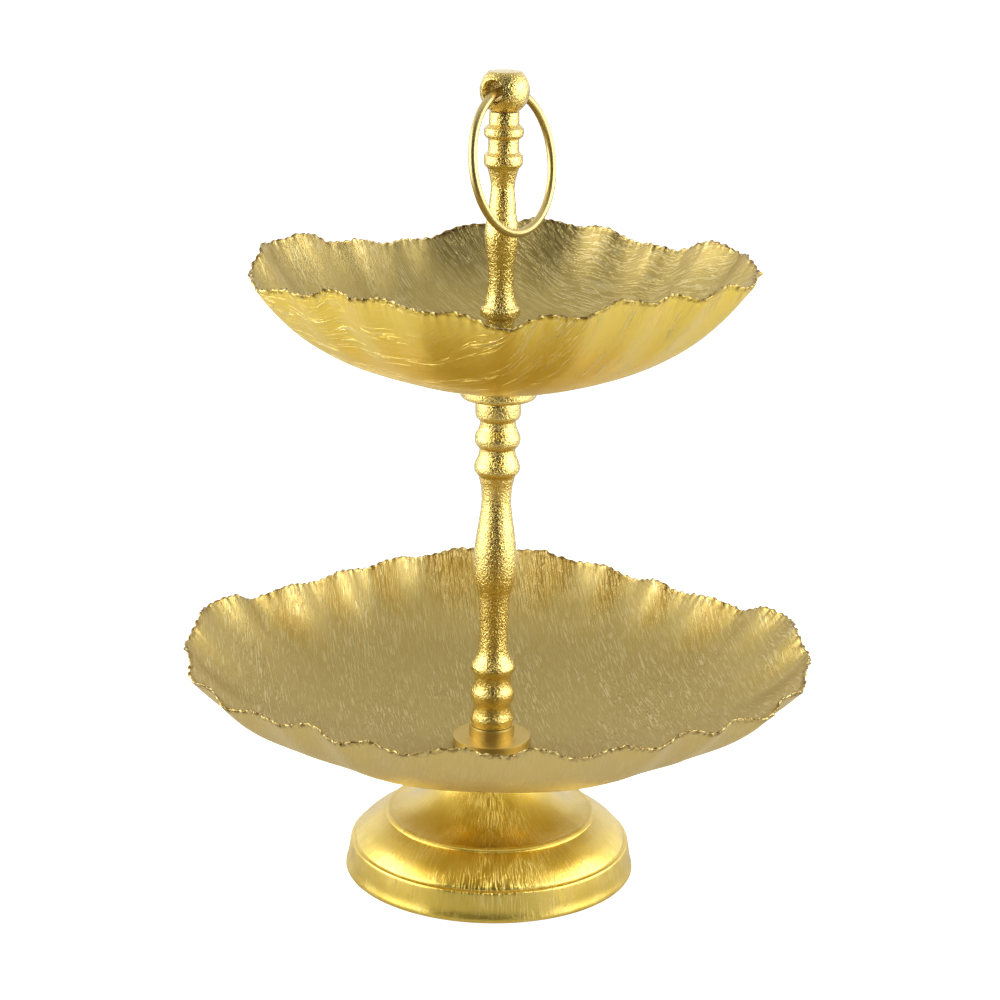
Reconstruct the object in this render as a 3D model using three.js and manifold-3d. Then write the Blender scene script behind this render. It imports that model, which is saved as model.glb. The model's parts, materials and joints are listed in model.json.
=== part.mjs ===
// Two-tier cake stand: a hollow foot, two fluted bowl-shaped trays with a wavy rim, two turned
// posts, and a knob with a loose carrying ring. Millimetres, +Z up, origin under the centre of
// the foot at the height of the table.
import * as THREE from "three";
import { mergeVertices } from "three/addons/utils/BufferGeometryUtils.js";
import Module from "manifold-3d";

const wasm = await Module();
wasm.setup();

// Driving dimensions.
const GAP = 0.3; // clearance between pieces that touch
const SHEET = 1.2; // thickness of the pressed steel
const PAD_HEIGHT = 0.8;
const PAD_RADIUS = 4.5;
const PAD_CIRCLE = 64;
const PAD_COUNT = 4;
const FOOT_RADIUS = 69.5;
const FOOT_SEAT_Z = 59;
const SEAL_THICKNESS = 0.7;
const THREAD_RADIUS = 3;
const THREAD_CLEARANCE = 0.3;
const HOLE_RADIUS = 3.5; // clearance hole for the thread in sheet and flanges

const LOWER_TRAY_Z = FOOT_SEAT_Z + GAP + SEAL_THICKNESS + GAP;
const LOWER_FLANGE_Z = LOWER_TRAY_Z + SHEET + GAP;
const LOWER_POST_Z = 72.3;
const UPPER_FLANGE_Z = 233;
const UPPER_FLANGE_HEIGHT = 5;
const UPPER_SEAL_Z = UPPER_FLANGE_Z + UPPER_FLANGE_HEIGHT + GAP;
const UPPER_TRAY_Z = UPPER_SEAL_Z + SEAL_THICKNESS + GAP;
const TOP_FLANGE_Z = UPPER_TRAY_Z + SHEET + GAP;
const TOP_FLANGE_HEIGHT = 3.7;
const UPPER_POST_Z = TOP_FLANGE_Z + TOP_FLANGE_HEIGHT + GAP;
const UPPER_POST_TOP_Z = 364.9;
const KNOB_Z = UPPER_POST_TOP_Z + GAP;
const KNOB_CENTRE_Z = 374.5;
const KNOB_RADIUS = 11.3;
const KNOB_TOP_Z = 383;
const RING_HOLE_RADIUS = 4.3;
const RING_HOLE_TURN = THREE.MathUtils.degToRad(237); // heading of the hole's axis
const RING_WIRE_RADIUS = 2;
const RING_RADIUS = 32; // to the middle of the wire
const RING_LEAN = THREE.MathUtils.degToRad(9.5); // how far it hangs out, leaning on the post

const OUTLINE_STEP = 3.4; // length of outline between two rings of vertices

// A tray's rim follows a rounded square: corner pull moves it out at the four corners, and rim
// shift moves it off centre. Flutes deepen from their start, a part of the way out, to the rim.
// The rim heights are [heading in degrees, height above the tray's underside], going round.
const LOWER_TRAY = {
  baseZ: LOWER_TRAY_Z,
  radius: 139.8,
  rimShift: 2,
  cornerPull: 0.045,
  floorRadius: 20,
  cone: 0.45,
  curve: 5.5,
  flutes: 24,
  fluteDepth: 2.1,
  fluteStart: 0.62,
  segments: 96,
  rim: [[0, 50], [30, 50], [60, 49], [90, 54], [120, 51], [150, 50], [180, 51], [212, 45],
    [240, 51], [270, 56], [300, 51], [328, 46]],
};
const UPPER_TRAY = {
  baseZ: UPPER_TRAY_Z,
  radius: 108.9,
  rimShift: 1.4,
  cornerPull: 0.05,
  floorRadius: 20,
  cone: 0.35,
  curve: 3.8,
  flutes: 20,
  fluteDepth: 1.9,
  fluteStart: 0.5,
  segments: 80,
  rim: [[0, 56], [23, 59], [45, 52], [66, 56], [81, 57], [118, 48], [136, 52], [151, 58],
    [166, 59], [180, 51], [201, 51], [233, 58], [255, 58], [269, 53], [281, 56], [295, 60],
    [321, 57]],
};
const RIM_STEPS = 8; // rings of faces between the flat floor and the rim

// Each section of a post's outline is a spline through [radius, height] points.
const LOWER_POST_OUTLINE = [
  [[9.9, LOWER_POST_Z], [10.6, 74.5], [10.3, 77], [9.3, 82]],
  [[9.3, 82], [10.3, 85], [10.7, 88.5], [9.9, 91.5], [8.7, 95]],
  [[8.7, 95], [9.9, 98], [10.6, 101.5], [9.6, 105], [7.6, 110], [6.8, 120], [7.4, 135],
    [10.2, 150], [9.9, 162], [8, 174], [7, 184], [7.8, 192.5], [8.9, 194.5]],
  [[8.9, 194.5], [10.7, 199], [10, 203], [8.8, 208.5]],
  [[8.8, 208.5], [10.7, 213.5], [10.2, 217], [9, 221.5]],
  [[9, 221.5], [10.6, 224.5], [10.6, 229.5], [9.8, 232.7]],
];
const UPPER_POST_OUTLINE = [
  [[9.2, UPPER_POST_Z], [9.4, 247], [8.6, 249.5]],
  [[8.6, 249.5], [7, 253], [7.4, 256]],
  [[7.4, 256], [9, 259.5], [7.4, 263], [6.6, 267], [7.4, 270.6]],
  [[8.8, 271.6], [9.3, 273.8], [8.9, 276]],
  [[7.8, 276.8], [6.2, 283], [5.9, 289], [6.7, 298], [7.9, 309], [6.9, 316], [5.7, 324],
    [5.4, 331], [7.2, 339.8]],
  [[8.1, 340.5], [8.8, 343.7], [8.2, 346.2], [7.1, 347.2], [7, 352.5]],
  [[8.1, 353.3], [9.1, 355.6], [8.3, 358.2], [6.9, 359.4], [6.8, UPPER_POST_TOP_Z]],
];

// Finishes.
const GOLD_LEAF = new THREE.Color(0.83, 0.66, 0.24);
const BRIGHT_GOLD = new THREE.Color(0.93, 0.76, 0.3);

function finish(color, roughness, metalness) {
  return new THREE.MeshStandardMaterial({ color, roughness, metalness });
}

const trayFinish = () => finish(GOLD_LEAF, 0.42, 1);
const turnedFinish = () => finish(BRIGHT_GOLD, 0.3, 1);
const steelFinish = () => finish(new THREE.Color(0.62, 0.62, 0.6), 0.35, 1);
const rubberFinish = () => finish(new THREE.Color(0.08, 0.08, 0.08), 0.8, 0);

// Turning: an outline of (radius, height) points, spun round Z.
function turned(outline, segments) {
  const points = outline.map(([radius, height]) => new THREE.Vector2(radius, height));
  return new THREE.LatheGeometry(points, segments).rotateX(Math.PI / 2);
}

function splineOutline(sections) {
  const outline = [];
  for (const section of sections) {
    const spline = new THREE.SplineCurve(section.map(([r, z]) => new THREE.Vector2(r, z)));
    const steps = Math.max(1, Math.round(spline.getLength() / OUTLINE_STEP));
    for (const point of spline.getSpacedPoints(steps)) {
      const last = outline[outline.length - 1];
      const repeats = last && Math.hypot(last[0] - point.x, last[1] - point.y) < 1e-3;
      if (!repeats) outline.push([point.x, point.y]);
    }
  }
  return outline;
}

function washer(inner, outer, z, height, segments = 28) {
  const outline = [[inner, z], [outer, z], [outer, z + height], [inner, z + height], [inner, z]];
  return turned(outline, segments);
}

// Booleans.
function solidOf(geometry) {
  const bare = geometry.clone();
  bare.deleteAttribute("normal");
  bare.deleteAttribute("uv");
  const merged = mergeVertices(bare, 1e-3);
  const triVerts = new Uint32Array(merged.index.array);
  const vertProperties = merged.attributes.position.array;
  return new wasm.Manifold(new wasm.Mesh({ numProp: 3, vertProperties, triVerts }));
}

function geometryOf(solid) {
  const { vertProperties, triVerts } = solid.getMesh();
  const geometry = new THREE.BufferGeometry();
  geometry.setAttribute("position", new THREE.BufferAttribute(vertProperties, 3));
  geometry.setIndex(new THREE.BufferAttribute(triVerts, 1));
  geometry.computeVertexNormals();
  return geometry;
}

// Foot: pressed sheet with a rolled-in bottom edge, a straight band, a low dome, a bead and a
// hollow cone up to a flat seat.
function footGeometry() {
  const bottom = PAD_HEIGHT + GAP;
  const outside = splineOutline([
    [[FOOT_RADIUS - 0.8, bottom], [FOOT_RADIUS, bottom + 0.9]],
    [[68.5, 5], [67.7, 10], [67, 14]],
    [[66.4, 14.5], [65.5, 15.1], [63.8, 17.4], [60.8, 20.4], [57, 23.4], [52.6, 26.2]],
    [[50.3, 27.2], [50.2, 28.4], [49.4, 29.3], [47.6, 29.3]],
    [[44, 29.7], [38, 32], [32, 36], [27, 41.2], [22.5, 48.4], [19.8, 54.9], [18.3, 58.2]],
    [[17.4, 58.7], [16.8, FOOT_SEAT_Z]],
  ]);
  outside.push([HOLE_RADIUS, FOOT_SEAT_Z]);
  const inside = [
    [HOLE_RADIUS, FOOT_SEAT_Z - SHEET], [16.2, FOOT_SEAT_Z - SHEET], [18.6, 54.4],
    [21.4, 47.8], [26.1, 40.4], [31.2, 35], [37.4, 30.9], [43.7, 28.5], [48.4, 28.1],
    [49, 27.8], [49.1, 26.2], [52, 25.1], [56.3, 22.3], [60, 19.5], [62.9, 16.6],
    [65.2, 13.6], [66.5, 10], [67.3, 5],
    [FOOT_RADIUS - 1.4, bottom + SHEET], [60, bottom + SHEET], [60, bottom],
  ];
  return turned([...outside, ...inside, outside[0]], 40);
}

function padGeometry() {
  return turned([[0, 0], [PAD_RADIUS, 0], [PAD_RADIUS, PAD_HEIGHT], [0, PAD_HEIGHT]], 16);
}

// Trays: sheet turned from one closed outline, then bent into a rounded square with flutes and
// a wavy rim. The wall starts as a shallow cone, the share of its height that cone gives, and
// curves up steeply at the edge.
function wallHeight(tray, part) {
  return tray.cone * part + (1 - tray.cone) * part ** tray.curve;
}

function wallSteepness(tray, part) {
  return tray.cone + (1 - tray.cone) * tray.curve * part ** (tray.curve - 1);
}

function easedBetween(table, heading) {
  const turn = 360;
  const at = ((heading % turn) + turn) % turn;
  const next = table.findIndex(([stop]) => stop > at);
  const to = next === -1 ? [table[0][0] + turn, table[0][1]] : table[next];
  const from = next === -1 ? table[table.length - 1] : table[next - 1];
  const part = (at - from[0]) / (to[0] - from[0]);
  return from[1] + (to[1] - from[1]) * 0.5 * (1 - Math.cos(Math.PI * part));
}

function meanRim(tray) {
  const steps = 72;
  let sum = 0;
  for (let i = 0; i < steps; i++) sum += easedBetween(tray.rim, (i * 360) / steps);
  return sum / steps;
}

function traySheetOutline(tray) {
  const rise = meanRim(tray) - SHEET;
  const span = tray.radius - tray.floorRadius;
  const top = [[HOLE_RADIUS, SHEET]];
  const underside = [[HOLE_RADIUS, 0]];
  for (let i = 0; i <= RIM_STEPS; i++) {
    const part = i / RIM_STEPS;
    const slope = (rise * wallSteepness(tray, part)) / span;
    const length = Math.hypot(1, slope);
    const radius = tray.floorRadius + span * part;
    const height = SHEET + rise * wallHeight(tray, part);
    top.push([radius, height]);
    underside.push([radius + (SHEET * slope) / length, height - SHEET / length]);
  }
  return [...underside, ...top.reverse(), underside[0]];
}

function trayGeometry(tray) {
  const geometry = turned(traySheetOutline(tray), tray.segments);
  const position = geometry.attributes.position;
  const mean = meanRim(tray);
  const point = new THREE.Vector3();
  for (let i = 0; i < position.count; i++) {
    point.fromBufferAttribute(position, i);
    const radius = Math.hypot(point.x, point.y);
    const angle = Math.atan2(point.y, point.x);
    const heading = THREE.MathUtils.radToDeg(angle);
    const part = Math.max(0, (radius - tray.floorRadius) / (tray.radius - tray.floorRadius));
    const pull = 1 + tray.cornerPull * Math.cos(4 * angle) * part;
    const fluted = Math.max(0, (part - tray.fluteStart) / (1 - tray.fluteStart));
    const flute = tray.fluteDepth * Math.cos(tray.flutes * angle) * fluted ** 1.4;
    const lift = (easedBetween(tray.rim, heading) - mean) * part ** 3;
    const bent = (radius * pull + flute) / radius;
    const shift = tray.rimShift * part ** 3;
    position.setXYZ(i, point.x * bent + shift, point.y * bent, point.z + lift);
  }
  return geometry.translate(0, 0, tray.baseZ);
}

// Flanges.
function lowerFlangeGeometry() {
  const rim = 18.7;
  const discTop = 66.5;
  const collarTop = LOWER_POST_Z - GAP;
  return turned([[HOLE_RADIUS, LOWER_FLANGE_Z], [rim, LOWER_FLANGE_Z], [rim, discTop],
    [10.85, discTop], [10.85, collarTop], [HOLE_RADIUS, collarTop],
    [HOLE_RADIUS, LOWER_FLANGE_Z]], 36);
}

function upperFlangeGeometry() {
  const top = UPPER_FLANGE_Z + UPPER_FLANGE_HEIGHT;
  return turned([[HOLE_RADIUS, UPPER_FLANGE_Z], [15.8, UPPER_FLANGE_Z],
    [17.3, UPPER_FLANGE_Z + 0.7], [17.8, UPPER_FLANGE_Z + 2], [17.8, top], [HOLE_RADIUS, top],
    [HOLE_RADIUS, UPPER_FLANGE_Z]], 36);
}

function topFlangeGeometry() {
  const top = TOP_FLANGE_Z + TOP_FLANGE_HEIGHT;
  return turned([[HOLE_RADIUS, TOP_FLANGE_Z], [14.5, TOP_FLANGE_Z], [14.5, top - 0.6],
    [13.9, top], [HOLE_RADIUS, top], [HOLE_RADIUS, TOP_FLANGE_Z]], 32);
}

// Posts: turned bars with a blind tapped bore in each end.
function postGeometry(sections, bottomBore, topBore) {
  const outside = splineOutline(sections);
  const [, bottom] = outside[0];
  const [, top] = outside[outside.length - 1];
  return turned([
    [0, bottom + bottomBore.depth],
    [bottomBore.radius, bottom + bottomBore.depth],
    [bottomBore.radius, bottom],
    ...outside,
    [topBore.radius, top],
    [topBore.radius, top - topBore.depth],
    [0, top - topBore.depth],
  ], 20);
}

// Knob: a ball with a flat top, a tapped bore underneath and a chamfered cross hole.
function knobGeometry() {
  const bore = { radius: 2.8, top: 369 };
  const ball = splineOutline([
    [[6.8, KNOB_Z], [10, 369], [KNOB_RADIUS, KNOB_CENTRE_Z - 0.2], [9.7, 379.7],
      [6.2, KNOB_TOP_Z - 0.3], [5.4, KNOB_TOP_Z]],
  ]);
  const body = turned([[0, bore.top], [bore.radius, bore.top], [bore.radius, KNOB_Z], ...ball,
    [0, KNOB_TOP_Z]], 28);
  const reach = KNOB_RADIUS + 3;
  const mouth = KNOB_RADIUS - 1.7;
  const flare = RING_HOLE_RADIUS + reach - mouth;
  const drill = turned([[0, -reach], [flare, -reach], [RING_HOLE_RADIUS, -mouth],
    [RING_HOLE_RADIUS, mouth], [flare, reach], [0, reach]], 24);
  drill.rotateY(Math.PI / 2);
  drill.rotateZ(RING_HOLE_TURN);
  drill.translate(0, 0, KNOB_CENTRE_Z);
  return geometryOf(solidOf(body).subtract(solidOf(drill)));
}

// Ring handle: it lies in a plane that holds the hole's axis, and leans out from the post.
function ringGeometry() {
  const ring = new THREE.TorusGeometry(RING_RADIUS, RING_WIRE_RADIUS, 8, 44);
  ring.rotateX(Math.PI / 2);
  ring.translate(0, 0, -RING_RADIUS);
  ring.rotateX(RING_LEAN);
  ring.rotateZ(RING_HOLE_TURN);
  return ring.translate(0, 0, KNOB_CENTRE_Z);
}

// Fasteners.
function boltGeometry() {
  const headTop = 54.1;
  const headRadius = 10 / Math.sqrt(3); // 10 mm across the flats
  const head = turned([[0, headTop - 4], [headRadius, headTop - 4], [headRadius, headTop],
    [0, headTop]], 6);
  const shank = turned([[0, headTop - 2], [THREAD_RADIUS, headTop - 2], [THREAD_RADIUS, 88],
    [0, 88]], 16);
  return geometryOf(solidOf(head).add(solidOf(shank)));
}

function studGeometry(radius, bottom, top) {
  const bevel = 0.5;
  return turned([[0, bottom], [radius - bevel, bottom], [radius, bottom + bevel],
    [radius, top - bevel], [radius - bevel, top], [0, top]], 14);
}

// A split lock washer: a flat ring with one slanting cut.
function springWasherGeometry() {
  const ring = washer(HOLE_RADIUS, 5.6, 54.4, 1.5, 24);
  const cut = new THREE.BoxGeometry(6, 0.8, 6);
  cut.rotateX(Math.PI / 5);
  cut.translate(5, 0, 55.1);
  return geometryOf(solidOf(ring).subtract(solidOf(cut)));
}

const cakeStand = new THREE.Group();

function addPiece(name, geometry, material) {
  const mesh = new THREE.Mesh(geometry, material);
  mesh.name = name;
  cakeStand.add(mesh);
  return mesh;
}

addPiece("foot", footGeometry(), trayFinish());
for (let i = 0; i < PAD_COUNT; i++) {
  const angle = ((i + 0.5) * 2 * Math.PI) / PAD_COUNT;
  const pad = addPiece(`foot_pad_${i + 1}`, padGeometry(), rubberFinish());
  pad.position.set(PAD_CIRCLE * Math.cos(angle), PAD_CIRCLE * Math.sin(angle), 0);
}

addPiece("foot_bolt", boltGeometry(), steelFinish());
addPiece("spring_washer", springWasherGeometry(), steelFinish());
addPiece("foot_washer", washer(HOLE_RADIUS, 8, 56.2, 1.3), steelFinish());
addPiece("lower_seal", washer(HOLE_RADIUS, 14, FOOT_SEAT_Z + GAP, SEAL_THICKNESS), rubberFinish());
addPiece("lower_tray", trayGeometry(LOWER_TRAY), trayFinish());
addPiece("lower_flange", lowerFlangeGeometry(), turnedFinish());

const studBore = { radius: THREAD_RADIUS + THREAD_CLEARANCE, depth: 18 };
const knobStudBore = { radius: 2.8, depth: 13 };
addPiece("lower_post", postGeometry(LOWER_POST_OUTLINE, studBore, studBore), turnedFinish());
addPiece("upper_flange", upperFlangeGeometry(), turnedFinish());
addPiece("joining_stud", studGeometry(THREAD_RADIUS, 215.5, 261.5), steelFinish());
addPiece("upper_seal", washer(HOLE_RADIUS, 14, UPPER_SEAL_Z, SEAL_THICKNESS), rubberFinish());
addPiece("upper_tray", trayGeometry(UPPER_TRAY), trayFinish());
addPiece("top_flange", topFlangeGeometry(), turnedFinish());
addPiece("upper_post", postGeometry(UPPER_POST_OUTLINE, studBore, knobStudBore), turnedFinish());
addPiece("knob_stud", studGeometry(2.5, 352.6, 368.6), steelFinish());
addPiece("knob", knobGeometry(), turnedFinish());
addPiece("ring_handle", ringGeometry(), turnedFinish());

export default cakeStand;
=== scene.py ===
"""Two-tier cake stand in gold: fluted trays, turned posts, stepped foot and a carrying ring."""
import json
import math

import bmesh
import bpy
from mathutils import Matrix, Vector, noise


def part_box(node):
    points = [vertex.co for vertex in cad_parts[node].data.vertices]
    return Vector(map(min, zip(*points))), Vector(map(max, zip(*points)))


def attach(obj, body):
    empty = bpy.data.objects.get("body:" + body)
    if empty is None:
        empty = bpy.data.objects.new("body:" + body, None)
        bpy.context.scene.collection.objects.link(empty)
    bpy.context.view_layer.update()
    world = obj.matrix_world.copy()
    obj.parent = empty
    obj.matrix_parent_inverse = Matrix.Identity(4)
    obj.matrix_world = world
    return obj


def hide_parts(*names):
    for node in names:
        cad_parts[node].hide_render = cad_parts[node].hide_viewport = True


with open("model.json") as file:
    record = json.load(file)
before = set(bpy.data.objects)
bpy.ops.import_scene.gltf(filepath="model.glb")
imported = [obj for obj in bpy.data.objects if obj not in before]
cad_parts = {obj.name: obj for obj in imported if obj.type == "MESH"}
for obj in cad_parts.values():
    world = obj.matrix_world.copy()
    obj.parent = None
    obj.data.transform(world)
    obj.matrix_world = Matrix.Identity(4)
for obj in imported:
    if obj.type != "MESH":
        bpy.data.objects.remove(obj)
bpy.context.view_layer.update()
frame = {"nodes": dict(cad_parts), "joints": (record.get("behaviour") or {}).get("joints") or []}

MM = 0.001
FULL_TURN = 2 * math.pi
SHEET = 1.2 * MM            # thickness of the pressed steel
BOLT_HOLE = 3.5 * MM        # radius of the hole through sheet and flanges
SHARP_CORNER = math.radians(40)
SAME_POINT = 1e-6           # metres: points closer than this are one

# ---------------------------------------------------------------------------------------------
# Camera, floor and light


def aim(location, target):
    """A rotation that points a lamp's or camera's -Z at the target."""
    return (Vector(target) - Vector(location)).to_track_quat("-Z", "Y").to_euler()


def place_camera():
    """Looks down on the stand from the front, tilted and rolled a little."""
    camera_data = bpy.data.cameras.new("camera")
    camera_data.sensor_width = 36
    camera_data.lens = 92.2
    camera_data.clip_end = 50
    camera = bpy.data.objects.new("camera", camera_data)
    distance, height = 1.150, 0.5179
    tilt_down, roll, turn = math.radians(16.2), math.radians(1.2), math.radians(-0.085)
    camera.matrix_world = (
        Matrix.Translation((0, -distance, height))
        @ Matrix.Rotation(turn, 4, "Z")
        @ Matrix.Rotation(math.pi / 2 - tilt_down, 4, "X")
        @ Matrix.Rotation(roll, 4, "Z")
    )
    bpy.context.collection.objects.link(camera)
    bpy.context.scene.camera = camera


def softbox(name, location, target, width, height, watts):
    """A flat lamp of the given width and height, aimed at the target."""
    lamp = bpy.data.lights.new(name, "AREA")
    lamp.shape = "RECTANGLE"
    lamp.size, lamp.size_y = width, height
    lamp.energy = watts
    light = bpy.data.objects.new(name, lamp)
    light.location = location
    light.rotation_euler = aim(location, target)
    bpy.context.collection.objects.link(light)


def light_the_studio():
    """A soft lamp at each side, for the long highlights, and a faint one overhead."""
    middle = (0, 0, 0.22)
    for name, side in (("left_softbox", -1), ("right_softbox", 1)):
        softbox(name, (side * 1.15, -0.24, 0.52), middle, 1.4, 1.0, 17)
    softbox("top_softbox", (0, 0.3, 1.9), middle, 1.6, 1.2, 2)
    # plain colours, without a filmic curve
    bpy.context.scene.view_settings.view_transform = "Standard"


# ---------------------------------------------------------------------------------------------
# Shader values


class Flow:
    """One shader value. Arithmetic on it adds Math nodes to its graph."""

    def __init__(self, graph, socket):
        self.graph = graph
        self.socket = socket

    def _math(self, operation, first, second):
        return self.graph.node("ShaderNodeMath", {"operation": operation}, {0: first, 1: second})

    def heading_from(self, other):
        """The angle whose tangent is this value over the other."""
        return self._math("ARCTAN2", self, other)

    def root(self):
        """The square root of the value."""
        return self._math("SQRT", self, 0.0)

    def __add__(self, other):
        return self._math("ADD", self, other)

    def __radd__(self, other):
        return self._math("ADD", other, self)

    def __sub__(self, other):
        return self._math("SUBTRACT", self, other)

    def __rsub__(self, other):
        return self._math("SUBTRACT", other, self)

    def __mul__(self, other):
        return self._math("MULTIPLY", self, other)

    def __rmul__(self, other):
        return self._math("MULTIPLY", other, self)


class Graph:
    """A node tree under construction."""

    def __init__(self, tree):
        self.tree = tree
        self.tree.nodes.clear()

    def node(self, kind, settings, inputs, output=0):
        """Adds a node: settings first, then the values or links of its sockets."""
        made = self.tree.nodes.new(kind)
        for key, value in settings.items():
            setattr(made, key, value)
        for key, value in inputs.items():
            if isinstance(value, Flow):
                self.tree.links.new(value.socket, made.inputs[key])
            else:
                made.inputs[key].default_value = value
        return Flow(self, made.outputs[output]) if made.outputs else None

    def split(self, vector):
        """The three parts of a vector."""
        first = self.node("ShaderNodeSeparateXYZ", {}, {0: vector})
        outputs = first.socket.node.outputs
        return [Flow(self, outputs[axis]) for axis in "XYZ"]

    def step(self, value, low, high):
        """Eases from 0 where the value is low to 1 where it is high."""
        return self.node("ShaderNodeMapRange", {"interpolation_type": "SMOOTHSTEP"}, {
            "Value": value, "From Min": low, "From Max": high})

    def only_for_camera(self, reflected, seen):
        """One shader for what the camera sees directly, another for what is reflected."""
        straight = self.node("ShaderNodeLightPath", {}, {}, "Is Camera Ray")
        return self.node("ShaderNodeMixShader", {}, {0: straight, 1: reflected, 2: seen})


class Finish(Graph):
    """A material under construction."""

    def __init__(self, name):
        self.material = bpy.data.materials.new(name)
        self.material.use_nodes = True
        super().__init__(self.material.node_tree)
        self.place = self.node("ShaderNodeTexCoord", {}, {}, "Object")

    def scaled(self, vector, scale):
        """A place stretched by the scale along each axis."""
        return self.node("ShaderNodeMapping", {}, {"Vector": vector, "Scale": scale})

    def turned(self, turn):
        """A place on the piece, turned about the post."""
        return self.node("ShaderNodeVectorRotate", {"rotation_type": "Z_AXIS"}, {
            "Vector": self.place, "Angle": turn})

    def noise(self, vector, scale=1.0, detail=2.0, roughness=0.5, distortion=0.0):
        return self.node("ShaderNodeTexNoise", {}, {
            "Vector": vector, "Scale": scale, "Detail": detail, "Roughness": roughness,
            "Distortion": distortion})

    def mix(self, factor, first, second):
        """A colour between the first and the second."""
        return self.node("ShaderNodeMix", {"data_type": "RGBA"}, {
            0: factor, 6: first, 7: second}, 2)

    def metal(self, colour, roughness, height, depth, metallic=1.0, coat=0.0):
        """Closes the finish with a metal whose relief is height, depth metres tall."""
        normal = self.node("ShaderNodeBump", {}, {
            "Strength": 1.0, "Distance": depth, "Height": height})
        surface = self.node("ShaderNodeBsdfPrincipled", {}, {
            "Base Color": colour, "Roughness": roughness, "Metallic": metallic,
            "Coat Weight": coat, "Coat Roughness": 0.25, "Normal": normal})
        self.node("ShaderNodeOutputMaterial", {}, {"Surface": surface})
        return self.material


# Colours are linear. Pattern scales are repeats per metre along each axis.

# The khaki colours are darker copies of the tray gold: painted shade on the insides of the trays.
SHADED_DEEP_KHAKI = (0.450, 0.341, 0.104, 1)
SHADED_PALE_KHAKI = (0.510, 0.394, 0.138, 1)
SHADED_LINE_KHAKI = (0.780, 0.660, 0.330, 1)
DEEP_GOLD = (0.66, 0.500, 0.165, 1)
WARM_GOLD = (0.75, 0.585, 0.215, 1)
PALE_GOLD = (0.92, 0.780, 0.400, 1)
RICH_GOLD = (0.86, 0.620, 0.085, 1)
BRIGHT_GOLD = (0.94, 0.705, 0.150, 1)
RIM_BROWN = (0.18, 0.100, 0.025, 1)
FOOT_DEEP, FOOT_PALE = (0.72, 0.525, 0.080, 1), (0.80, 0.600, 0.118, 1)
CAST_DEEP, CAST_PALE = (0.78, 0.58, 0.14, 1), (0.90, 0.72, 0.26, 1)
FLANGE_DEEP, FLANGE_PALE = (0.64, 0.48, 0.15, 1), (0.70, 0.54, 0.19, 1)
RING_DEEP, RING_PALE = (0.60, 0.465, 0.175, 1), (0.68, 0.54, 0.23, 1)
ZINC_DEEP, ZINC_PALE = (0.42, 0.42, 0.4, 1), (0.66, 0.66, 0.62, 1)
RUBBER_DEEP, RUBBER_PALE = (0.012, 0.012, 0.012, 1), (0.035, 0.034, 0.032, 1)
RIM = "rim"                  # the mesh attribute that marks the crimped rim of a tray
GRAIN_LINES = (105, 1500, 105)
GRAIN_PATCHES = (24, 60, 60)
BRIGHT_STROKES = (42, 950, 70)
STROKE_RUNS = (10, 170, 30)  # long stretches in which the bright strokes appear
PAINT_SPECKS = 2400.0
GRAIN_RELIEF = 0.16 * MM
BRUSH_LINES = 95.0           # repeats per radian round the foot and per metre up its slope
BRUSH_RELIEF = 0.10 * MM
CAST_SKIN = 980.0
CAST_RELIEF = 0.50 * MM


def grained_gold(name, turn, outside_strokes, outside_low, outside_high):
    """Satin gold over fine raised lines along X, turned about the post. Bright strokes mark
    the outside, as strongly as outside_strokes says, and the rim is dark brown in patches.
    The inside, which faces up, gets a darker copy of the gold: painted shade."""
    finish = Finish(name)
    along = finish.turned(turn)
    lines = finish.noise(finish.scaled(along, GRAIN_LINES), 1.0, 3.0, 0.62, 0.2)
    blotches = finish.noise(finish.scaled(along, GRAIN_PATCHES), 1.0, 2.0, 0.6)
    patches = finish.step(blotches, 0.36, 0.64)
    normal = finish.node("ShaderNodeTexCoord", {}, {}, "Normal")
    inside = finish.step(finish.split(normal)[2], -0.05, 0.05)
    strokes = finish.step(lines, 0.50, 0.57) * (patches * 0.65 + 0.35) * (inside * 0.6 + 0.4)
    sparse = finish.noise(finish.scaled(along, BRIGHT_STROKES), 1.0, 3.0, 0.6, 0.3)
    runs = finish.step(finish.noise(finish.scaled(along, STROKE_RUNS)), 0.46, 0.56)
    bright = finish.step(sparse, 0.555, 0.60) * runs * (1 - inside) * outside_strokes
    fine = finish.noise(finish.place, PAINT_SPECKS, 2.0, 0.6)
    clouds = finish.noise(finish.place, 9.0, 3.0, 0.55)
    rim = finish.node("ShaderNodeAttribute", {"attribute_name": RIM}, {}, "Fac")
    # the crimped rim is made dark brown in patches
    dark_rim_patches = rim * finish.step(finish.noise(finish.place, 420.0, 2.0, 0.6), 0.42, 0.60)
    height = strokes * 0.7 + bright * 2.4 + fine * 0.08
    # painted shade: the inside, facing up, gets a darker copy of the outside's gold
    shaded_inner = finish.mix(clouds, SHADED_DEEP_KHAKI, SHADED_PALE_KHAKI)
    ground = finish.mix(inside, finish.mix(clouds, outside_low, outside_high), shaded_inner)
    line_gold = finish.mix(inside, PALE_GOLD, SHADED_LINE_KHAKI)
    lined = finish.mix(strokes * 0.55 + bright * 0.55, ground, line_gold)
    colour = finish.mix(dark_rim_patches * 0.8, lined, RIM_BROWN)
    roughness = 0.36 - strokes * 0.06 - bright * 0.1 + clouds * 0.06 - rim * 0.08
    return finish.metal(colour, roughness, height, GRAIN_RELIEF)


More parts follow.
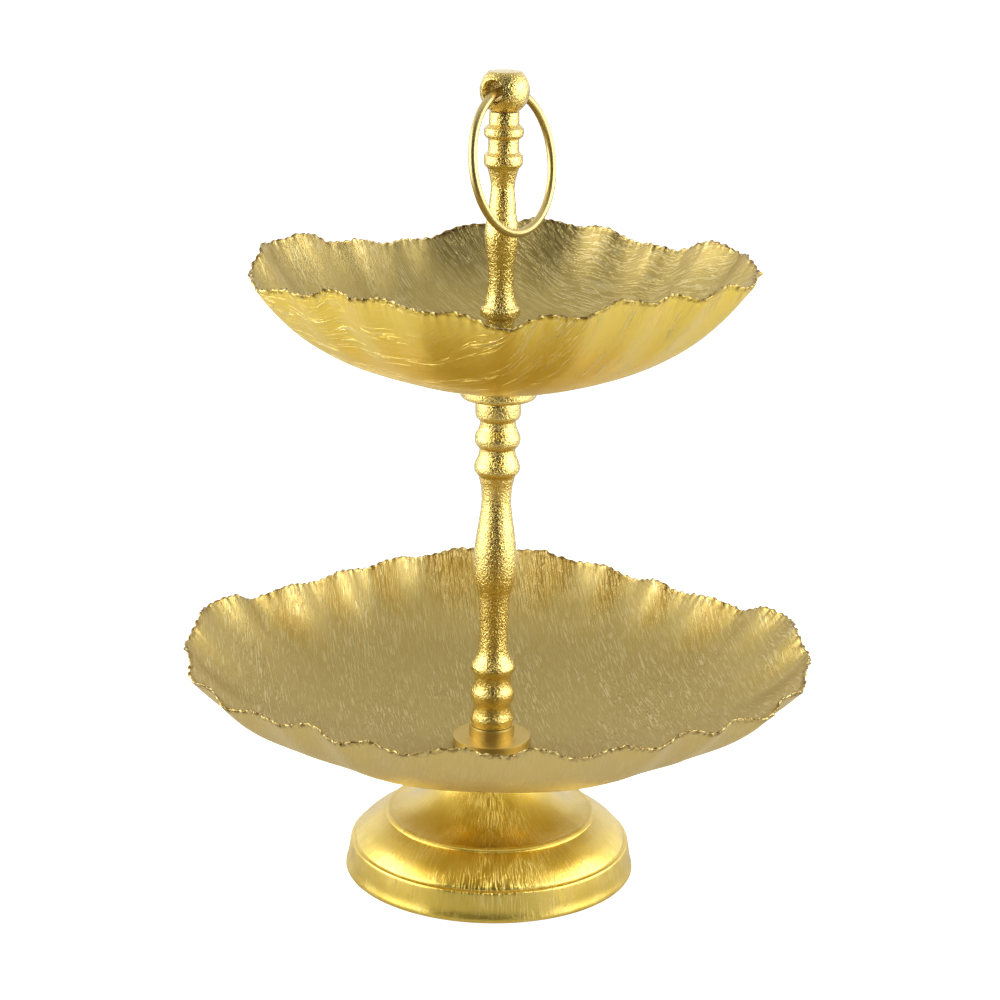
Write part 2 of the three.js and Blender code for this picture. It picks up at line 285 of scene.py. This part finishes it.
def brushed_foot_gold():
    """Satin gold brushed on in short strokes that follow the foot's slope."""
    finish = Finish("foot_gold")
    x, y, z = finish.split(finish.place)
    radius = (x * x + y * y).root()
    unrolled = finish.node("ShaderNodeCombineXYZ", {}, {
        "X": y.heading_from(x) * BRUSH_LINES, "Y": (z - radius) * BRUSH_LINES, "Z": x * 12.0})
    lines = finish.noise(unrolled, 1.0, 3.0, 0.6, 0.3)
    ridges = finish.step(lines, 0.51, 0.61)
    patches = finish.step(finish.noise(finish.place, 38.0, 2.0, 0.6), 0.38, 0.64)
    fine = finish.noise(finish.place, PAINT_SPECKS, 2.0, 0.6)
    strokes = ridges * (patches * 0.7 + 0.3)
    height = strokes + fine * 0.12
    ground = finish.mix(patches, FOOT_DEEP, FOOT_PALE)
    colour = finish.mix(strokes * 0.3, ground, PALE_GOLD)
    roughness = 0.28 + patches * 0.07
    return finish.metal(colour, roughness, height, BRUSH_RELIEF, coat=0.7)


def cast_gold():
    """Brighter gold over the fine rough skin of a casting."""
    finish = Finish("post_gold")
    pebbles = finish.noise(finish.place, CAST_SKIN, 2.0, 0.6, 0.4)
    clouds = finish.noise(finish.place, 500.0, 2.0, 0.55, 0.6)
    height = pebbles + clouds * 0.25
    colour = finish.mix(finish.step(pebbles, 0.35, 0.7), CAST_DEEP, CAST_PALE)
    roughness = 0.22 + clouds * 0.06
    return finish.metal(colour, roughness, height, CAST_RELIEF, coat=0.8)


def satin_gold(name, colour_low, colour_high, rough, depth):
    """Smooth satin gold with a fine grain."""
    finish = Finish(name)
    fine = finish.noise(finish.scaled(finish.place, (900, 900, 2600)), 1.0, 2.0, 0.6)
    clouds = finish.noise(finish.place, 60.0, 2.0, 0.5)
    colour = finish.mix(clouds, colour_low, colour_high)
    return finish.metal(colour, rough + clouds * 0.08, fine, depth)


def zinc_steel():
    """Bright zinc plate with a fine spangle."""
    finish = Finish("zinc_steel")
    spangle = finish.noise(finish.place, 700.0, 3.0, 0.7)
    colour = finish.mix(spangle, ZINC_DEEP, ZINC_PALE)
    return finish.metal(colour, 0.28 + spangle * 0.2, spangle, 0.10 * MM)


def black_rubber():
    """Matt black rubber with a gritty skin."""
    finish = Finish("black_rubber")
    grit = finish.noise(finish.place, 1800.0, 3.0, 0.7)
    colour = finish.mix(grit, RUBBER_DEEP, RUBBER_PALE)
    return finish.metal(colour, 0.62 + grit * 0.2, grit, 0.15 * MM, metallic=0.0)


# ---------------------------------------------------------------------------------------------
# Shapes


def smooth_line(points, spacing):
    """Points along a Catmull-Rom curve through the given ones, about spacing apart."""
    line = []
    for i in range(len(points) - 1):
        before = Vector(points[max(i - 1, 0)])
        start, end = Vector(points[i]), Vector(points[i + 1])
        after = Vector(points[min(i + 2, len(points) - 1)])
        steps = max(1, round((end - start).length / spacing))
        for k in range(steps):
            t = k / steps
            line.append(0.5 * (2 * start + (end - before) * t
                        + (2 * before - 5 * start + 4 * end - after) * t * t
                        + (3 * start - before - 3 * end + after) * t * t * t))
    line.append(Vector(points[-1]))
    return line


def profile(sections, base, spacing):
    """An outline in metres: each section is smooth, with a corner between sections."""
    line = []
    for section in sections:
        for point in smooth_line(section, spacing):
            spot = Vector((point[0] * MM, 0, base + point[1] * MM))
            if not line or (spot - line[-1]).length > 0.02 * MM:
                line.append(spot)
    return line


def spun(line, steps, axis=(0, 0, 1), centre=(0, 0, 0), closed=False):
    """A surface of revolution of the line, as a bmesh."""
    bm = bmesh.new()
    verts = [bm.verts.new(spot) for spot in line]
    pairs = list(zip(verts, verts[1:]))
    if closed:
        pairs.append((verts[-1], verts[0]))
    edges = [bm.edges.new(pair) for pair in pairs]
    bmesh.ops.spin(bm, geom=verts + edges, cent=centre, axis=axis, dvec=(0, 0, 0),
                   angle=FULL_TURN, steps=steps, use_merge=True, use_duplicate=False)
    bmesh.ops.remove_doubles(bm, verts=bm.verts, dist=SAME_POINT)
    bmesh.ops.recalc_face_normals(bm, faces=bm.faces)
    return bm


def add_piece(name, bm, finish, body, node):
    """Makes the bmesh an object with its finish, riding on a body in place of a CAD node."""
    mesh = bpy.data.meshes.new(name)
    bm.to_mesh(mesh)
    bm.free()
    for face in mesh.polygons:
        face.use_smooth = True
    mesh.set_sharp_from_angle(angle=SHARP_CORNER)
    mesh.materials.append(finish)
    piece = bpy.data.objects.new(name, mesh)
    bpy.context.collection.objects.link(piece)
    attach(piece, body)
    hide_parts(node)


# ---------------------------------------------------------------------------------------------
# Trays

# corner_pull draws the corners out and corner_blunt rounds them, as parts of the radius. The
# wall rises as cone * part + (1 - cone) * part ** curve. Lengths are in mm, and rim lists
# (heading in degrees, height in mm).
LOWER_TRAY = dict(
    corner_pull=0.045, corner_blunt=0.008, floor_radius=20, cone=0.45, curve=5.5,
    flutes=24, flute_depth=1.9, flute_start=0.72, rim_margin=3.0, coarse=96,
    rim=[(0, 50), (15, 57), (31, 50), (60, 49), (90, 54), (120, 51), (150, 51), (165, 57),
         (180, 51), (212, 45), (240, 51), (270, 56), (300, 51), (328, 46)])
UPPER_TRAY = dict(
    corner_pull=0.05, corner_blunt=0.011, floor_radius=20, cone=0.35, curve=3.8,
    flutes=20, flute_depth=1.6, flute_start=0.62, rim_margin=2.8, coarse=80,
    rim=[(0, 56), (23, 59), (45, 52), (66, 56), (81, 57), (118, 48), (136, 52), (151, 58),
         (166, 59), (180, 51), (201, 51), (233, 58), (255, 58), (269, 53), (281, 56), (295, 60),
         (321, 57)])
FINER = 11                   # cuts that divide each coarse step of a tray's blank
WALL_STEPS = 30
BEAD_RADIUS = 0.55 * MM
BEAD_STEPS = 6
BEAD_START, BEAD_SWEEP = -35, 250    # degrees round the bead's outline
KNOB_PITCH = 4.7 * MM        # between the small swellings along the crimped rim
KNOB_TWIST = 0.22 * MM
KNOB_NOISE, BEAT_DRIFT = 2.2 * MM, 20 * MM
CRIMP, RIPPLE, NIBBLE = 2.4 * MM, 6.5 * MM, 2.8 * MM    # sizes of the rim's unevenness
EDGE_START = 0.955           # part of the wall beyond which the rim is uneven


def rim_height(rim, heading):
    """The rim's height at a heading in degrees, eased between the listed ones."""
    heading %= 360
    for start, end in zip(rim, rim[1:] + [(rim[0][0] + 360, rim[0][1])]):
        if start[0] <= heading <= end[0]:
            part = (heading - start[0]) / (end[0] - start[0])
            return start[1] + (end[1] - start[1]) * 0.5 * (1 - math.cos(math.pi * part))
    return rim[0][1]


class Tray:
    """One tray: a round blank of sheet, then bent to its wavy rounded square."""

    def __init__(self, node, shape, seed):
        low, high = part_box(node)
        self.shape = shape
        self.seed = seed
        self.base = low[2]
        self.shift = (low[0] + high[0]) / 2
        self.floor_radius = shape["floor_radius"] * MM
        reach = 1 + shape["corner_pull"] - shape["corner_blunt"]
        self.radius = ((high[0] - low[0]) / 2 - shape["rim_margin"] * MM) / reach
        self.mean_rim = sum(rim_height(shape["rim"], 5 * i) for i in range(72)) / 72 * MM
        self.sector = FULL_TURN / shape["coarse"]
        self.rim_middle = (self.wall(1.0, 0) + self.wall(1.0, 1)) / 2

    def wall(self, part, side):
        """A point on the top (side 0) or underside (side 1) of the wall."""
        cone, curve = self.shape["cone"], self.shape["curve"]
        span = self.radius - self.floor_radius
        rise = self.mean_rim - SHEET
        slope = (cone + (1 - cone) * curve * part ** (curve - 1)) * rise / span
        height = rise * (cone * part + (1 - cone) * part ** curve)
        length = math.hypot(1, slope)
        return Vector((self.floor_radius + span * part + side * SHEET * slope / length, 0,
                       self.base + SHEET + height - side * SHEET / length))

    def outline(self):
        """The closed outline of the blank, from its hole out to the bead and back."""
        parts = [0.975 * (i / WALL_STEPS) ** 0.85 for i in range(WALL_STEPS + 1)]
        parts += [0.988, 1.0]
        top = [Vector((BOLT_HOLE, 0, self.base + SHEET))] + [self.wall(part, 0) for part in parts]
        under = [Vector((BOLT_HOLE, 0, self.base))] + [self.wall(part, 1) for part in parts]
        outward = (under[-1] - top[-1]).normalized()
        upward = Vector((-outward.z, 0, outward.x))
        bead = []
        for k in range(BEAD_STEPS + 1):
            angle = math.radians(BEAD_START + BEAD_SWEEP * k / BEAD_STEPS)
            bead.append(self.rim_middle + BEAD_RADIUS * (outward * math.cos(angle)
                                                         + upward * math.sin(angle)))
        return under[:-1] + bead + top[:-1][::-1]

    def sheet(self):
        """The blank, turned, divided finely round its rings, then bent to shape."""
        bm = spun(self.outline(), self.shape["coarse"], closed=True)
        rings = [edge for edge in bm.edges
                 if abs(edge.verts[0].co.z - edge.verts[1].co.z) < SAME_POINT
                 and abs(edge.verts[0].co.xy.length - edge.verts[1].co.xy.length) < SAME_POINT]
        bmesh.ops.subdivide_edges(bm, edges=rings, cuts=FINER, use_grid_fill=True)
        rim = bm.verts.layers.float.new(RIM)
        for vert in bm.verts:
            vert[rim] = self.bend(vert)
        bmesh.ops.recalc_face_normals(bm, faces=bm.faces)
        return bm

    def bend(self, vert):
        """Bends one point of the blank. Returns 1 on the bead of the rim and 0 elsewhere."""
        shape, spot = self.shape, vert.co
        angle = math.atan2(spot.y, spot.x)
        ring = Vector((math.cos(angle), math.sin(angle), 0))
        off_middle = (angle / self.sector) % 1.0 - 0.5
        chord = math.cos(off_middle * self.sector) / math.cos(self.sector / 2)
        distance = spot.xy.length * chord
        part = (distance - self.floor_radius) / (self.radius - self.floor_radius)
        part = min(1.03, max(0.0, part))
        around = ring * self.radius
        out, lift = self.rim_unevenness(around, part)
        flute = self.flute(ring, angle, part)
        rim = rim_height(shape["rim"], math.degrees(angle)) * MM
        lift += (rim - self.mean_rim) * part ** 3 - 0.75 * flute
        middle = Vector((ring.x * self.rim_middle.x, ring.y * self.rim_middle.x,
                         self.rim_middle.z))
        spot = Vector((ring.x * distance, ring.y * distance, spot.z))
        on_bead = (spot - middle).length < 1.05 * BEAD_RADIUS
        if on_bead:
            spot = self.knob(spot, middle, ring, around, angle)
            distance = spot.xy.length
        pull = shape["corner_pull"] * math.cos(4 * angle)
        pull -= shape["corner_blunt"] * math.cos(8 * angle)
        widened = distance * (1 + pull * part) + 0.6 * flute + out
        vert.co = Vector((ring.x * widened + self.shift * part ** 3, ring.y * widened,
                          spot.z + lift))
        return 1.0 if on_bead else 0.0

    def unevenness(self, place, layer):
        """Smooth random wobble between -1 and 1, a different one for each layer."""
        return noise.noise(place + Vector((0, 0, self.seed + layer)))

    def rim_unevenness(self, around, part):
        """How far the hand-crimped edge strays outwards and upwards."""
        edge = max(0.0, (part - EDGE_START) / (1 - EDGE_START)) ** 1.5
        crimp = self.unevenness(around / CRIMP, 0)
        ripple = self.unevenness(around / RIPPLE, 9)
        nibble = self.unevenness(around / NIBBLE, 4)
        return edge * 0.7 * nibble * MM, edge * (0.4 * crimp + 0.7 * ripple) * MM

    def flute(self, ring, angle, part):
        """How far the flutes move a point out of the plain wall."""
        uneven = 1 + 0.45 * noise.noise(ring * 3.1 + Vector((self.seed, 0, 0)))
        drift = 0.9 * noise.noise(ring * 2.3 + Vector((0, self.seed, 0)))
        start = self.shape["flute_start"]
        fluted = max(0.0, (part - start) / (1 - start)) ** 1.5
        depth = self.shape["flute_depth"] * MM
        return depth * uneven * math.cos(self.shape["flutes"] * angle + drift) * fluted

    def knob(self, spot, middle, ring, around, angle):
        """Swells and twists the bead into a row of small uneven knobs."""
        drift = 0.5 * noise.noise(around / BEAT_DRIFT)
        beat = FULL_TURN * (angle * self.radius / KNOB_PITCH + drift)
        swell = 1.05 + 0.38 * math.sin(beat) + 0.5 * self.unevenness(around / KNOB_NOISE, 2)
        twist = Vector((ring.x, ring.y, 0)) * math.sin(beat)
        twist.z = math.cos(beat)
        return middle + (spot - middle) * swell + twist * KNOB_TWIST


# ---------------------------------------------------------------------------------------------
# Turned pieces: each section is a smooth run of (radius, height above the piece's base)

LOWER_POST = [
    [(3.3, 0), (9.9, 0)],
    [(9.9, 0), (10.05, 1.3), (10.5, 2.4)],
    [(10.5, 2.4), (10.65, 3.4), (10.2, 4.9), (9.45, 6.8), (9.1, 8.7), (9.2, 10.6)],
    [(9.2, 10.6), (9.7, 11.7), (10.4, 13), (10.5, 14.2)],
    [(10.5, 14.2), (10.7, 15.4), (10.7, 16.4), (10.2, 17.9), (9.3, 19.8), (8.75, 22.2),
     (8.8, 24.6), (9.1, 25.6)],
    [(9.1, 25.6), (9.8, 26.5), (10.35, 27.3), (10.65, 28.6), (10.5, 29.9), (9.8, 31.3),
     (8.4, 33.7), (7.5, 36.2), (7.05, 40), (6.8, 47), (7, 55), (7.7, 65), (9.5, 71.5),
     (10.2, 78), (10, 87), (9, 95.5), (8, 102), (7.1, 109.5), (7.1, 114), (7.5, 118.4),
     (8.3, 121.6), (8.6, 123.4)],
    [(8.6, 123.4), (9, 124), (9.9, 124.9), (10.55, 126), (10.75, 127.5), (10.6, 129),
     (10.15, 130.2)],
    [(10.15, 130.2), (9.25, 132.2), (8.55, 134.6), (8.5, 136.8)],
    [(8.5, 136.8), (9, 137.2), (9.9, 138.2), (10.5, 139.5), (10.75, 141.2), (10.6, 142.6),
     (10.15, 143.8)],
    [(10.15, 143.8), (9.25, 145.7), (8.55, 147.6), (8.5, 150)],
    [(8.5, 150), (9, 150.5), (9.9, 151.3), (10.45, 152.3), (10.65, 153.6), (10.65, 157.8),
     (10.3, 160), (10, 160.4)],
    [(10, 160.4), (3.3, 160.4)],
]
UPPER_POST = [
    [(3.3, 0), (9.2, 0)],
    [(9.2, 0), (9.6, 1.5), (9.4, 3.4), (8.4, 5.2)],
    [(8, 5.6), (7, 8), (7, 10.2)],
    [(7.5, 10.8), (8.8, 12.6), (9, 14.6), (8.2, 17), (6.9, 19.6), (6.6, 22.6), (6.7, 25.6)],
    [(8.4, 26.6), (9.1, 27.1), (9.25, 28.8), (9.1, 30.6), (8.5, 31.2)],
    [(7.9, 31.8), (7, 35), (6.2, 39), (5.9, 44.5), (6.15, 50), (6.75, 54), (7.65, 61),
     (7.9, 65.3), (7.3, 69.5), (6.45, 74), (5.95, 80), (5.4, 85.8), (5.9, 90), (7.2, 94.7)],
    [(7.8, 95.4), (8.6, 96.3), (8.85, 97.6), (8.8, 100.7)],
    [(8.8, 100.7), (7.15, 102.3)],
    [(7.15, 102.3), (6.95, 105), (7.05, 108)],
    [(7.8, 108.5), (8.8, 109.4), (9.05, 110.8), (8.95, 112.8)],
    [(8.95, 112.8), (6.85, 114.8)],
    [(6.85, 114.8), (6.8, 120.1)],
    [(6.8, 120.1), (2.8, 120.1)],
]
FOOT = [
    [(68.8, -0.75), (69.3, -0.75)],
    [(69.3, -0.75), (69.5, -0.4), (69.4, 0.6), (68.5, 3.9), (67.7, 8.9), (67.1, 12.5),
     (66.9, 13.1), (66.5, 13.4)],
    [(66.5, 13.4), (65.9, 13.45), (65.5, 13.7)],
    [(65.5, 13.7), (65.5, 14.2), (65, 15), (63.8, 16.4), (62.4, 17.9), (60.8, 19.4),
     (58.9, 20.9), (56.9, 22.3), (54.6, 23.8), (52.2, 25.1), (50.9, 25.7)],
    [(50.9, 25.7), (50.3, 25.85), (50.05, 26.2)],
    [(50.05, 26.2), (50.3, 26.9), (50.2, 27.5), (49.6, 28), (48.6, 28.2), (47.6, 28.1)],
    [(47.6, 28.1), (44, 28.7), (40, 29.9), (36, 32), (32, 34.9), (28, 38.8), (24.5, 43.4),
     (21.8, 48.5), (19.8, 53.8), (18.7, 56.6)],
    [(18.7, 56.6), (17.8, 57.6), (16.8, 57.9)],
    [(16.8, 57.9), (3.5, 57.9)],
]
FOOT_ROLLED_EDGE = [
    [(60, 0), (67.9, 0)], [(67.9, 0), (67.9, 1)], [(67.9, 1), (60.3, 1)],
    [(60.3, 1), (60, 0.7), (60, 0)],
]
LOWER_FLANGE = [
    [(3.5, 0), (18.2, 0)],
    [(18.2, 0), (18.6, 0.15), (18.7, 0.5)],
    [(18.7, 0.5), (18.7, 4.2)],
    [(18.7, 4.2), (18.6, 4.55), (18.2, 4.7)],
    [(18.2, 4.7), (11.2, 4.7)],
    [(11.2, 4.7), (10.9, 4.8), (10.85, 5.2)],
    [(10.85, 5.2), (10.85, 9.6)],
    [(10.85, 9.6), (10.6, 10.2), (3.5, 10.2)],
]
UPPER_FLANGE = [
    [(3.5, 0), (15.4, 0)],
    [(15.4, 0), (16.9, 0.4), (17.7, 1.4), (17.8, 2.4)],
    [(17.8, 2.4), (17.8, 4.6)],
    [(17.8, 4.6), (17.4, 5), (3.5, 5)],
]
TOP_FLANGE = [
    [(3.5, 0), (14.2, 0)],
    [(14.2, 0), (14.5, 0.4), (14.5, 2.9)],
    [(14.5, 2.9), (14.3, 3.5), (13.7, 3.7)],
    [(13.7, 3.7), (3.5, 3.7)],
]

# steps round, and mm between points of the outline
TURNED_STEPS, TURNED_SPACING = 112, 0.8
FOOT_STEPS, FOOT_SPACING = 220, 1.0
FOOT_EDGE_STEPS = 160


def turned_piece(node, sections, finish):
    """A post or flange, turned to its outline on the node's base."""
    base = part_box(node)[0][2]
    bm = spun(profile(sections, base, TURNED_SPACING), TURNED_STEPS)
    add_piece(node + "_turned", bm, finish, "stand", node)


def make_foot(finish):
    """The pressed shell of the foot, and the flat rolled edge that the pads sit under."""
    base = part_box("foot")[0][2]
    shell = spun(profile(FOOT, base, FOOT_SPACING), FOOT_STEPS)
    bmesh.ops.solidify(shell, geom=shell.faces, thickness=SHEET)
    bmesh.ops.recalc_face_normals(shell, faces=shell.faces)
    add_piece("foot_shell", shell, finish, "stand", "foot")
    edge = spun(profile(FOOT_ROLLED_EDGE, base, FOOT_SPACING)[:-1], FOOT_EDGE_STEPS,
                closed=True)
    add_piece("foot_rolled_edge", edge, finish, "stand", "foot")


# ---------------------------------------------------------------------------------------------
# Knob and ring

swing = next(joint for joint in frame["joints"] if joint["name"] == "ring_swing")
RING_AXIS = Vector(swing["axis"]).normalized()
KNOB_CENTRE = Vector(swing["pos_m"])
RING_HOLE = 4.3 * MM
WIRE = 2.0 * MM
RING_RADIUS = 32 * MM
RING_LEAN = math.radians(9.5)
LIP_WIDTH = 1.3 * MM
HOLE_LIP = ((0.7, 0.75), (1.3, 0.25), (2.2, 0.0))    # (depth in the hole, widening), in mm
BALL_STEPS, BORE_STEPS, WIRE_SIDES = 48, 5, 20       # steps along each outline
KNOB_STEPS, RING_STEPS = 96, 220                     # steps round


def make_knob(finish):
    """A drilled ball: its round form is spun about the hole, then cut flat at top and bottom."""
    low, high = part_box("knob")
    ball = (high[0] - low[0]) / 2
    up = Vector((0, 0, 1))
    start = math.asin((RING_HOLE + LIP_WIDTH) / ball)
    line = []
    for k in range(BALL_STEPS + 1):
        angle = start + (math.pi - 2 * start) * k / BALL_STEPS
        line.append(RING_AXIS * (ball * math.cos(angle)) + up * (ball * math.sin(angle)))
    mouth = ball * math.cos(start)
    for reach, bore in HOLE_LIP:
        line.append(RING_AXIS * (reach * MM - mouth) + up * (RING_HOLE + bore * MM))
    bore_end = HOLE_LIP[-1][0] * MM - mouth
    for k in range(1, BORE_STEPS + 1):
        line.append(RING_AXIS * (bore_end * (1 - 2 * k / (BORE_STEPS + 1))) + up * RING_HOLE)
    for reach, bore in HOLE_LIP[::-1]:
        line.append(RING_AXIS * (mouth - reach * MM) + up * (RING_HOLE + bore * MM))
    line = [KNOB_CENTRE + spot for spot in line]
    bm = spun(line, KNOB_STEPS, axis=RING_AXIS, centre=KNOB_CENTRE, closed=True)
    for height, normal in ((high[2], 1), (low[2], -1)):
        cut = bmesh.ops.bisect_plane(
            bm, geom=bm.verts[:] + bm.edges[:] + bm.faces[:], plane_co=(0, 0, height),
            plane_no=(0, 0, normal), clear_outer=True)
        ring = [item for item in cut["geom_cut"] if isinstance(item, bmesh.types.BMEdge)]
        lid = bmesh.ops.contextual_create(bm, geom=ring)["faces"]
        rim = [edge for face in lid for edge in face.edges]
        bmesh.ops.bevel(bm, geom=rim, offset=0.5 * MM, affect="EDGES", segments=3, profile=0.5,
                        material=-1)
    bmesh.ops.recalc_face_normals(bm, faces=bm.faces)
    add_piece("knob_ball", bm, finish, "stand", "knob")


def make_ring(finish):
    """The carrying ring hangs from the knob and leans out against the post."""
    lean_out = RING_AXIS.cross(Vector((0, 0, -1))).normalized()
    down = Vector((0, 0, -math.cos(RING_LEAN))) + lean_out * math.sin(RING_LEAN)
    side = down.cross(RING_AXIS).normalized()
    centre = KNOB_CENTRE + down * RING_RADIUS
    line = []
    for k in range(WIRE_SIDES):
        angle = FULL_TURN * k / WIRE_SIDES
        line.append(KNOB_CENTRE + (down * math.cos(angle) + side * math.sin(angle)) * WIRE)
    bm = spun(line, RING_STEPS, axis=side, centre=centre, closed=True)
    add_piece("ring_wire", bm, finish, "ring", "ring_handle")


# ---------------------------------------------------------------------------------------------
# Small parts under the foot


def make_pads(finish):
    """Four round rubber pads with softened rims."""
    for number in range(1, 5):
        node = "foot_pad_%d" % number
        low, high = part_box(node)
        middle = Vector(((low[0] + high[0]) / 2, (low[1] + high[1]) / 2, 0))
        radius = (high[0] - low[0]) / 2
        bm = bmesh.new()
        bmesh.ops.create_cone(bm, cap_ends=True, segments=48, radius1=radius, radius2=radius,
                              depth=high[2] - low[2],
                              matrix=Matrix.Translation(middle + Vector((0, 0, high[2] / 2))))
        rims = [edge for edge in bm.edges if edge.calc_face_angle(0) > 1]
        bmesh.ops.bevel(bm, geom=rims, offset=0.25 * MM, affect="EDGES", segments=3,
                        profile=0.5, material=-1)
        add_piece("pad_%d" % number, bm, finish, "stand", node)


def make_bolt(finish):
    """The hexagon bolt that holds the foot to the lower post."""
    low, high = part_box("foot_bolt")
    head_height, shank = 4 * MM, 3 * MM
    corner = (high[0] - low[0]) / 2 / math.cos(math.pi / 6)
    bm = bmesh.new()
    bmesh.ops.create_cone(bm, cap_ends=True, segments=6, radius1=corner, radius2=corner,
                          depth=head_height,
                          matrix=Matrix.Translation((0, 0, low[2] + head_height / 2)))
    bmesh.ops.bevel(bm, geom=bm.edges[:], offset=0.35 * MM, affect="EDGES", segments=3,
                    profile=0.5, material=-1)
    bmesh.ops.create_cone(bm, cap_ends=True, segments=40, radius1=shank, radius2=shank,
                          depth=high[2] - low[2] - head_height,
                          matrix=Matrix.Translation((0, 0, (low[2] + head_height + high[2]) / 2)))
    add_piece("hex_bolt", bm, finish, "stand", "foot_bolt")


# ---------------------------------------------------------------------------------------------
# Floor and room


def make_floor():
    """A pale paper floor, painted dark in front of the stand for reflections: a painted shade."""
    finish = Finish("paper")
    tone = finish.noise(finish.place, 3.0)
    pale = finish.mix(tone, (0.66, 0.66, 0.65, 1), (0.69, 0.69, 0.68, 1))
    # painted shade: for reflections only, the floor is dark in front of the stand and pale behind
    behind_painted_dark_front = finish.step(finish.split(finish.place)[1], -0.72, -0.36)
    colour = finish.mix(behind_painted_dark_front, (0.03, 0.03, 0.03, 1), pale)
    sheet = finish.node("ShaderNodeBsdfPrincipled", {}, {"Base Color": colour, "Roughness": 0.8})
    white = finish.node("ShaderNodeBsdfDiffuse", {}, {"Color": pale})
    glow = finish.node("ShaderNodeEmission", {}, {"Color": (1, 1, 1, 1), "Strength": 0.85})
    lit = finish.node("ShaderNodeAddShader", {}, {0: white, 1: glow})
    surface = finish.only_for_camera(sheet, lit)
    finish.node("ShaderNodeOutputMaterial", {}, {"Surface": surface})
    bm = bmesh.new()
    bmesh.ops.create_grid(bm, x_segments=1, y_segments=1, size=8)
    mesh = bpy.data.meshes.new("floor")
    bm.to_mesh(mesh)
    bm.free()
    mesh.materials.append(finish.material)
    floor = bpy.data.objects.new("floor", mesh)
    bpy.context.collection.objects.link(floor)


def make_room():
    """The room behind the lamps: pale at the back and dim in front, white where it is seen."""
    world = bpy.data.worlds.new("studio")
    world.use_nodes = True
    room = Graph(world.node_tree)
    direction = room.node("ShaderNodeTexCoord", {}, {}, "Generated")
    _, back, up = room.split(direction)
    strength = room.step(back, -0.75, 0.35) * (1.0 - room.step(up, 0.3, 1.0) * 0.45) + 0.04
    around = room.node("ShaderNodeBackground", {}, {
        "Color": (1.0, 0.99, 0.97, 1), "Strength": strength})
    seen = room.node("ShaderNodeBackground", {}, {"Color": (1, 1, 1, 1), "Strength": 1.0})
    room.node("ShaderNodeOutputWorld", {}, {"Surface": room.only_for_camera(around, seen)})
    bpy.context.scene.world = world


# ---------------------------------------------------------------------------------------------
# Putting it together

place_camera()
light_the_studio()
make_room()
make_floor()

post_gold = cast_gold()
flange_gold = satin_gold("flange_gold", FLANGE_DEEP, FLANGE_PALE, 0.4, 0.05 * MM)
ring_gold = satin_gold("ring_gold", RING_DEEP, RING_PALE, 0.34, 0.06 * MM)
steel = zinc_steel()
rubber = black_rubber()

lower_gold = grained_gold("lower_tray_gold", math.radians(80), 0.0, DEEP_GOLD, WARM_GOLD)
upper_gold = grained_gold("upper_tray_gold", math.radians(40), 1.0, RICH_GOLD, BRIGHT_GOLD)
add_piece("lower_tray_sheet", Tray("lower_tray", LOWER_TRAY, 3.0).sheet(), lower_gold,
          "stand", "lower_tray")
add_piece("upper_tray_sheet", Tray("upper_tray", UPPER_TRAY, 17.0).sheet(), upper_gold,
          "stand", "upper_tray")
make_foot(brushed_foot_gold())
turned_piece("lower_flange", LOWER_FLANGE, flange_gold)
turned_piece("lower_post", LOWER_POST, post_gold)
turned_piece("upper_flange", UPPER_FLANGE, post_gold)
turned_piece("top_flange", TOP_FLANGE, flange_gold)
turned_piece("upper_post", UPPER_POST, post_gold)
make_knob(post_gold)
make_ring(ring_gold)
make_pads(rubber)
make_bolt(steel)
for name in ("spring_washer", "foot_washer", "joining_stud", "knob_stud"):
    frame["nodes"][name].data.materials[0] = steel
for name in ("lower_seal", "upper_seal"):
    frame["nodes"][name].data.materials[0] = rubber
